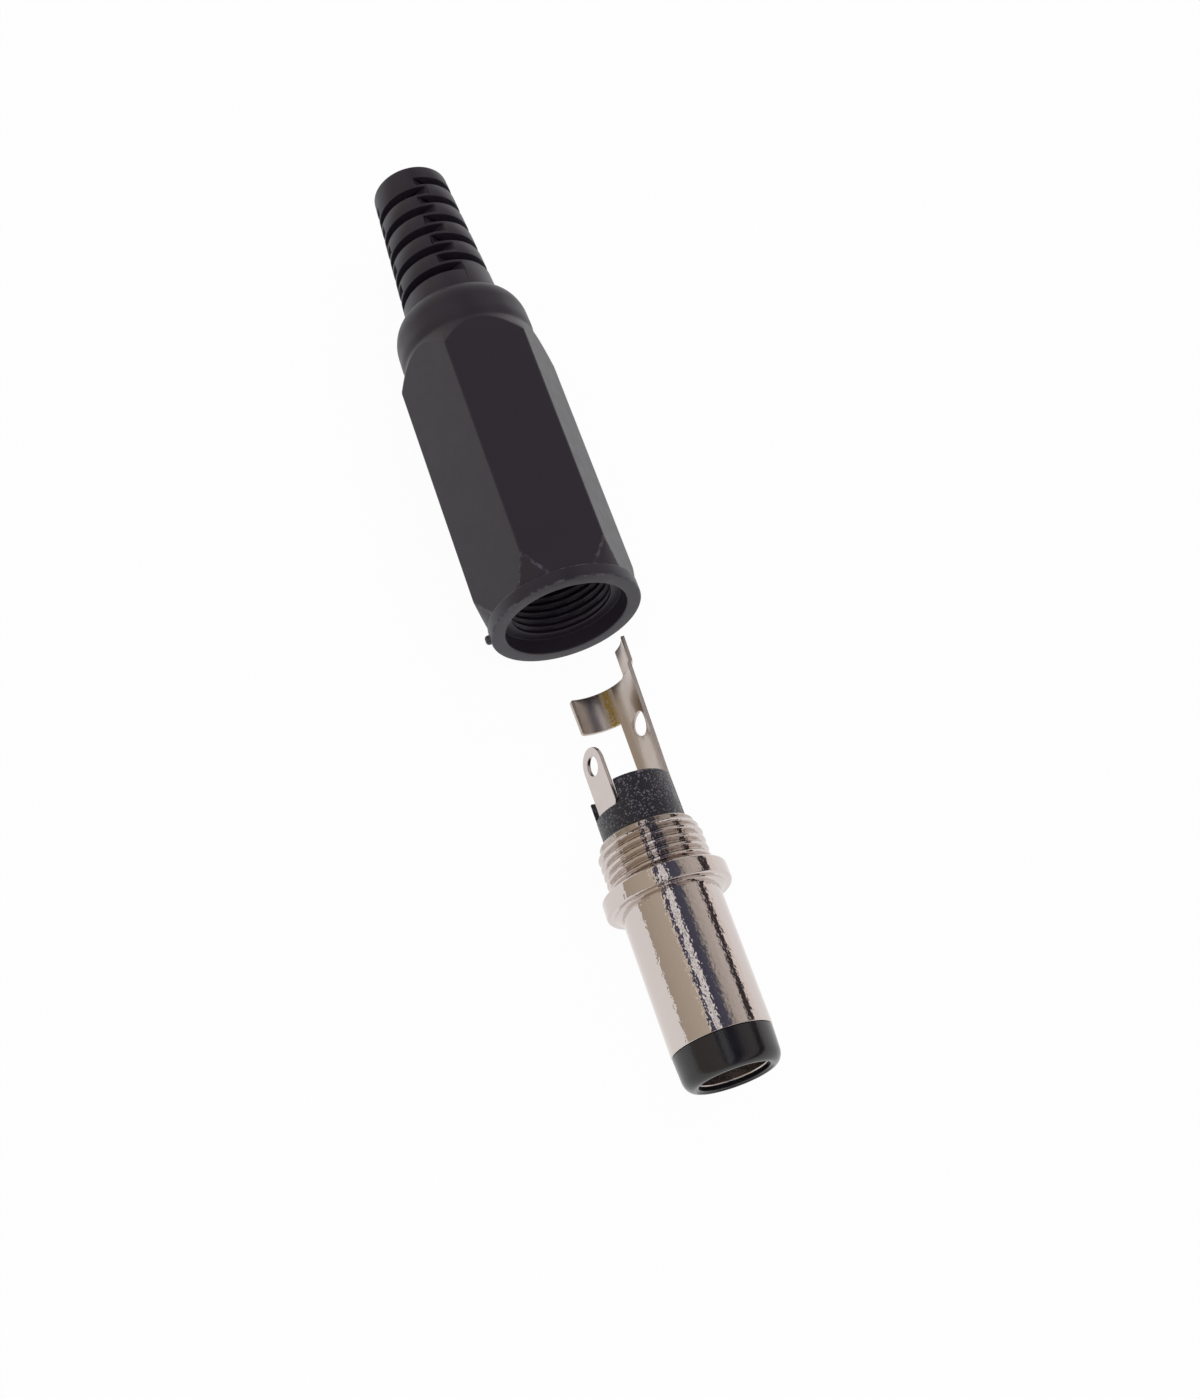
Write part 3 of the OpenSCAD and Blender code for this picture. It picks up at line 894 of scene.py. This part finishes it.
@dataclass
class CableClamp:
    """The clamp, stamped as a flat blank and rolled round the axis: collar, strip, crimp ear and end tab."""

    angle: float = 107.0
    inner_r: float = 2.87
    sheet: float = 0.3
    strip_half: float = 35.0
    ear_to: float = 93.0
    tab_to: float = 6.0
    collar_front: float = -3.7
    collar_rear: float = -5.4
    bend: float = -9.4
    ear_front: float = -15.8
    ear_rear: float = -18.9
    tab_rear: float = -21.3
    tab_step: float = 0.16
    lean: float = 1.6
    hole_r: float = 0.95
    hole_at: float = -14.7
    finish: StampedTag = field(default_factory=lambda: StampedTag(
        "nickel on stamped brass, clamp", stain=(140.0, 158.0, -18.9, -15.8)))

    def along(self, angle: float) -> float:
        """Distance in the flat blank of an angle from the strip's middle line."""
        return math.radians(angle) * (self.inner_r + self.sheet / 2)

    def blank(self) -> bmesh.types.BMesh:
        """Stamps the flat blank, with its hole and with its edges broken."""
        seam, half = self.along(179.0), self.along(self.strip_half)
        ear, tab = self.along(self.ear_to), self.along(self.tab_to)
        plate = thicken(outline([
            (self.collar_front, -seam, 0.0), (self.collar_front, seam, 0.0), (self.collar_rear, seam, 0.0),
            (self.collar_rear, half, 0.1), (self.ear_front, half, 0.12), (self.ear_front, ear, 0.22),
            (self.ear_rear, ear, 0.22), (self.ear_rear, tab, 0.05), (self.tab_rear, tab, 0.1),
            (self.tab_rear, -half, 0.1), (self.collar_rear, -half, 0.1), (self.collar_rear, -seam, 0.0)],
            flat=True), 0.0, self.sheet)
        hole = rod(self.hole_r, -1.0, 1.0, Matrix.Translation((self.hole_at, 0, 0)))
        plate = combine(plate, hole, Cut.REMOVE)
        break_edges(plate, 0.04, 50.0)
        return plate

    def score(self, bm: bmesh.types.BMesh) -> None:
        """Divides the blank along the lines that it bends at.

        Args:
            bm: The flat blank.
        """
        stations = [self.bend + d for d in (-0.4, 0.0, 0.4)]
        stations += [self.ear_rear - 0.02 - 0.04 * i for i in range(8)]
        cuts = [((0.0, self.along(a), 0.0), (0.0, 1.0, 0.0)) for a in range(-176, 177, 4)]
        cuts += [((x, 0.0, 0.0), (1.0, 0.0, 0.0)) for x in stations]
        bmesh.ops.triangulate(bm, faces=bm.faces[:])
        for point, normal in cuts:
            bmesh.ops.bisect_plane(bm, geom=bm.verts[:] + bm.edges[:] + bm.faces[:], dist=1e-4,
                                   plane_co=point, plane_no=normal)

    def roll(self, bm: bmesh.types.BMesh) -> None:
        """Rolls the blank round the axis, leans the strip out and steps its tab.

        Args:
            bm: The scored blank.
        """
        slope = math.tan(math.radians(self.lean))
        for vert in bm.verts:
            station, across, height = vert.co
            step = self.tab_step * smooth_step(self.ear_rear - 0.02, self.ear_rear - 0.26, station)
            radius = self.inner_r + height + max(0.0, self.bend - station) * slope + step
            angle = math.radians(self.angle) + across / (self.inner_r + self.sheet / 2)
            vert.co = (station, radius * math.sin(angle), radius * math.cos(angle))
        bmesh.ops.recalc_face_normals(bm, faces=bm.faces[:])

    def build(self) -> None:
        """Makes the clamp."""
        bm = self.blank()
        self.score(bm)
        self.roll(bm)
        finish_piece("rolled_clamp", bm, self.finish.material(), "plug", ["cable_clamp"])


@dataclass
class HexShell:
    """The moulded shell: round rim, hexagonal grip, shoulder and slotted bend-relief tail, in one piece."""

    mouth: float = -24.25
    length: float = 44.6
    rim_r: float = 6.05
    rim_len: float = 1.1
    flats: float = 5.7
    core_r: float = 5.4
    hex_front: float = 3.3
    hex_rear: float = 23.6
    shoulder_r: float = 5.7
    shoulder_front: float = 26.0
    tail_root: float = 30.1
    root_r: float = 4.1
    end_r: float = 3.25
    cable_r: float = 2.4
    seat_r: float = 4.85
    seat_depth: float = 1.3
    thread_r: float = 4.0
    thread_end: float = 6.2
    thread_depth: float = 0.25
    cavity_r: float = 3.95
    cavity_end: float = 25.4
    taper: float = 4.2
    slot_w: float = 0.85
    slot_pitch: float = 1.14
    slot_rows: int = 10
    end_band: float = 1.4
    slot_floor: float = 2.05
    gate_angle: float = -105.0
    gate_r: float = 0.38
    finish: SparkErodedShell = field(default_factory=SparkErodedShell)

    def at(self, depth: float) -> float:
        """Station of a distance behind the mouth."""
        return self.mouth - depth

    def turned_body(self) -> bmesh.types.BMesh:
        """Turns all that is round, with the hollow in it."""
        corners = [
            (0.0, self.seat_r + 0.06, 0.1), (0.0, self.rim_r, 0.12), (self.rim_len, self.rim_r, 0.12),
            (self.rim_len, self.core_r, 0.0), (self.shoulder_front, self.core_r, 0.0),
            (self.shoulder_front, self.shoulder_r - 0.15, 0.0),
            (self.shoulder_front + 0.6, self.shoulder_r, 0.3),
            (self.tail_root - 0.35, self.shoulder_r - 0.1, 1.7), (self.tail_root, self.root_r + 0.05, 0.5),
            (self.length, self.end_r, 0.18), (self.length, self.cable_r, 0.15),
            (self.cavity_end + self.taper, self.cable_r, 0.0), (self.cavity_end, self.cavity_r, 0.0),
            (self.thread_end, self.cavity_r, 0.0), (self.thread_end, self.thread_r, 0.0),
            (self.seat_depth, self.thread_r, 0.08), (self.seat_depth, self.seat_r, 0.05)]
        bm = outline([(self.at(depth), radius, size) for depth, radius, size in corners])
        add_rings(bm, self.at(self.thread_end), self.at(self.seat_depth + 0.08), self.thread_r, 84)
        return revolve(bm)

    def grip(self) -> bmesh.types.BMesh:
        """The hexagonal grip as a thick ring, with its corners turned off at both ends."""
        corner_r = self.flats / math.cos(math.radians(30.0))
        bore_r = self.core_r - 0.25
        length = self.shoulder_front - self.rim_len + 0.1
        hexagon = bmesh.new()
        lie = Matrix.Rotation(math.radians(90.0), 4, "Y")
        middle = Matrix.Translation((self.at(self.rim_len - 0.1 + length / 2), 0, 0))
        bmesh.ops.create_cone(hexagon, cap_ends=True, segments=6, radius1=corner_r, radius2=corner_r,
                              depth=length, matrix=middle @ lie)
        off_corner = min(abs(math.degrees(math.atan2(v.co.y, v.co.z)) % 60.0 - 30.0) for v in hexagon.verts)
        if off_corner > 1.0:  # a corner is on top, so a flat is brought there
            turn = Matrix.Rotation(math.radians(30.0), 3, "X")
            bmesh.ops.rotate(hexagon, verts=hexagon.verts[:], matrix=turn)
        limit = revolve(outline([
            (self.at(self.rim_len - 0.2), bore_r, 0.0),
            (self.at(self.rim_len - 0.2), self.rim_r - 0.182, 0.0),
            (self.at(self.hex_front), corner_r + 0.01, 0.0), (self.at(self.hex_rear), corner_r + 0.01, 0.0),
            (self.at(self.shoulder_front), self.shoulder_r - 0.15, 0.0),
            (self.at(self.shoulder_front), bore_r, 0.0)]))
        return combine(limit, hexagon, Cut.KEEP_COMMON)

    def slots(self) -> bmesh.types.BMesh:
        """Cutters for the bend-relief slots, each row a pair of opposite cuts, turned from the last."""
        rear = self.at(self.length) + self.end_band
        reach = 2 * self.root_r
        return merged(
            block((rear + row * self.slot_pitch, -reach, self.slot_floor),
                  (rear + row * self.slot_pitch + self.slot_w, reach, reach),
                  facing((45.0 if row % 2 == 0 else -45.0) + side))
            for row in range(self.slot_rows) for side in (0.0, 180.0))

    def gate(self) -> bmesh.types.BMesh:
        """The stub that the mould's gate left on the rim."""
        stub = rod(self.gate_r, self.rim_r - 0.4, self.rim_r + 0.4, Matrix.Identity(4), 24)
        break_edges(stub, 0.26, 60.0, segments=5)
        bmesh.ops.transform(stub, matrix=Matrix.Translation((self.at(self.rim_len / 2), 0, 0))
                            @ facing(self.gate_angle), verts=stub.verts[:])
        return stub

    def skin(self) -> bmesh.types.BMesh:
        """Joins and cuts the shell, breaks its edges and sinks the thread into its bore."""
        body = combine(self.turned_body(), self.grip(), Cut.JOIN)
        body = combine(body, self.gate(), Cut.JOIN)
        break_edges(body, 0.13, 20.0, lambda middle: self.at(self.shoulder_front + 0.1) < middle.x
                    < self.at(self.rim_len + 0.15) and math.hypot(middle.y, middle.z) > self.core_r)
        mark_worn(body, 0.1, lambda middle: self.at(self.hex_front + 0.1) < middle.x
                  and math.hypot(middle.y, middle.z) > self.flats)
        body = self.cut_slots(body)
        ScrewThread(rear=self.at(self.thread_end), front=self.at(self.seat_depth + 0.05),
                    wall_r=self.thread_r, lift=self.thread_depth).cut(body)
        return body

    def cut_slots(self, body: bmesh.types.BMesh) -> bmesh.types.BMesh:
        """Cuts the bend-relief slots and softens them.

        Args:
            body: The shell without its slots.

        Returns:
            The shell with them.
        """
        body = combine(body, self.slots(), Cut.REMOVE)
        tail = [v for v in body.verts if v.co.x < self.at(self.tail_root)]
        bmesh.ops.remove_doubles(body, verts=tail, dist=0.03)
        break_edges(body, 0.05, 25.0, lambda middle: self.at(self.length - 0.9) < middle.x
                    < self.at(self.tail_root + 1.0), segments=2)
        return body

    def build(self) -> None:
        """Makes the shell."""
        finish_piece("hex_shell", self.skin(), self.finish.material(), "shell", ["shell"],
                     crease=30.0)


# ---------------------------------------------------------------------------------------------- studio


@dataclass
class Studio:
    """Pale floor, soft light and the camera."""

    floor_z: float = -6.1
    eye: tuple[float, float, float] = (38.6, -35.1, 115.4)
    right: tuple[float, float, float] = (0.3142, 0.9396, 0.1367)
    up: tuple[float, float, float] = (-0.8522, 0.2157, 0.4766)
    lens: float = 45.55

    def floor(self) -> None:
        """Lays the white floor, on which only a faint shadow shows."""
        bm = bmesh.new()
        bmesh.ops.create_grid(bm, x_segments=1, y_segments=1, size=3.0)
        bmesh.ops.translate(bm, verts=bm.verts[:], vec=(0, 0, self.floor_z * MM))
        mesh = bpy.data.meshes.new("floor")
        bm.to_mesh(mesh)
        bm.free()
        material = bpy.data.materials.new("white sweep")
        material.use_nodes = True
        tree = material.node_tree
        tree.nodes.clear()
        matt = add_node(tree, "BsdfDiffuse", {"Color": linear("F2F2F2")})
        glow = add_node(tree, "Emission", {"Color": linear("FFFFFF"), "Strength": 1.0})
        path = add_node(tree, "LightPath")
        bent = maths(tree, "MAXIMUM", path.outputs["Is Glossy Ray"], path.outputs["Is Transmission Ray"])
        seen = maths(tree, "MAXIMUM", path.outputs["Is Camera Ray"], bent)
        share = maths(tree, "MULTIPLY", seen, 0.96)
        both = add_node(tree, "MixShader", {0: share, 1: matt.outputs[0], 2: glow.outputs[0]})
        add_node(tree, "OutputMaterial", {"Surface": both.outputs[0]})
        mesh.materials.append(material)
        floor = bpy.data.objects.new("floor", mesh)
        bpy.context.scene.collection.objects.link(floor)

    def room(self) -> None:
        """Surrounds the object with a pale room whose ceiling has darker bands for the metal to mirror."""
        world = bpy.data.worlds.new("room")
        bpy.context.scene.world = world
        world.use_nodes = True
        tree = world.node_tree
        tree.nodes.clear()
        way = add_node(tree, "SeparateXYZ", {"Vector": add_node(tree, "TexCoord").outputs["Generated"]})
        angle = maths(tree, "ARCTAN2", way.outputs["Y"], way.outputs["Z"])
        share = maths(tree, "MULTIPLY_ADD", angle, 1.0 / math.tau, 0.5)
        bands = colour_steps(tree, share, [
            (0.00, "FFF9F6"), (0.232, "FFF9F6"), (0.240, "8A8176"), (0.25, "B9AFA1"), (0.41, "CBC1B2"),
            (0.418, "FFF8EE"), (0.424, "49495A"), (0.442, "58586C"), (0.45, "FFFFFF"), (0.458, "FFFFFF"),
            (0.463, "62636F"), (0.468, "FFFFFF"), (0.478, "FFFFFF"), (0.487, "4C4C60"), (0.54, "585A68"),
            (0.575, "BDB6AF"), (0.65, "D6CFCB"), (0.672, "3E393B"), (0.70, "453F41"), (0.715, "FBF3F0")])
        path = add_node(tree, "LightPath")
        shown = add_node(tree, "Background", {"Color": bands, "Strength": 1.0})
        plain = add_node(tree, "Background", {"Color": linear("FFFFFF"), "Strength": 0.55})
        white = add_node(tree, "Background", {"Color": linear("FFFFFF"), "Strength": 1.0})
        lit = add_node(tree, "MixShader", {
            0: path.outputs["Is Glossy Ray"], 1: plain.outputs[0], 2: shown.outputs[0]})
        seen = add_node(tree, "MixShader", {
            0: path.outputs["Is Camera Ray"], 1: lit.outputs[0], 2: white.outputs[0]})
        add_node(tree, "OutputWorld", {"Surface": seen.outputs[0]})

    def lamp(self, name: str, place: tuple[float, float, float], size: float, power: float) -> None:
        """Hangs a soft square lamp that points at the object.

        Args:
            name: Name of the lamp.
            place: Where it hangs, in millimetres.
            size: Length of its side, in millimetres.
            power: Its power in watts.
        """
        data = bpy.data.lights.new(name, "AREA")
        data.size = size * MM
        data.energy = power
        lamp = bpy.data.objects.new(name, data)
        bpy.context.scene.collection.objects.link(lamp)
        lamp.location = Vector(place) * MM
        lamp.visible_glossy = False
        aim = Vector((-25.0, 0.0, 0.0)) * MM - lamp.location
        lamp.rotation_euler = aim.to_track_quat("-Z", "Y").to_euler()

    def camera(self) -> None:
        """Sets the camera at the viewing angle."""
        data = bpy.data.cameras.new("camera")
        data.lens = self.lens
        data.sensor_width = 36.0
        data.clip_start = 0.002
        camera = bpy.data.objects.new("camera", data)
        bpy.context.scene.collection.objects.link(camera)
        across, up = Vector(self.right).normalized(), Vector(self.up).normalized()
        back = across.cross(up).normalized()
        up = back.cross(across)
        camera.matrix_world = Matrix.LocRotScale(
            Vector(self.eye) * MM, Matrix((across, up, back)).transposed(), None)
        bpy.context.scene.camera = camera

    def build(self) -> None:
        """Sets the floor, the room, the lamps and the camera."""
        self.floor()
        self.room()
        self.lamp("overhead", (60.0, -60.0, 260.0), 120.0, 0.2)
        self.lamp("fill", (-180.0, 160.0, 200.0), 200.0, 0.12)
        self.camera()
        bpy.context.scene.view_settings.view_transform = "Standard"
        log.info("studio is set")


def main() -> None:
    """Builds the sub-assemblies in order, then the studio."""
    logging.basicConfig(level=logging.INFO, format="%(name)s: %(message)s")
    pieces = (ContactBarrel(), Nose(), RearInsulator(), SolderLug(), CableClamp(), HexShell())
    for assembly in (*pieces, Studio()):
        assembly.build()


if __name__ == "__main__":
    main()
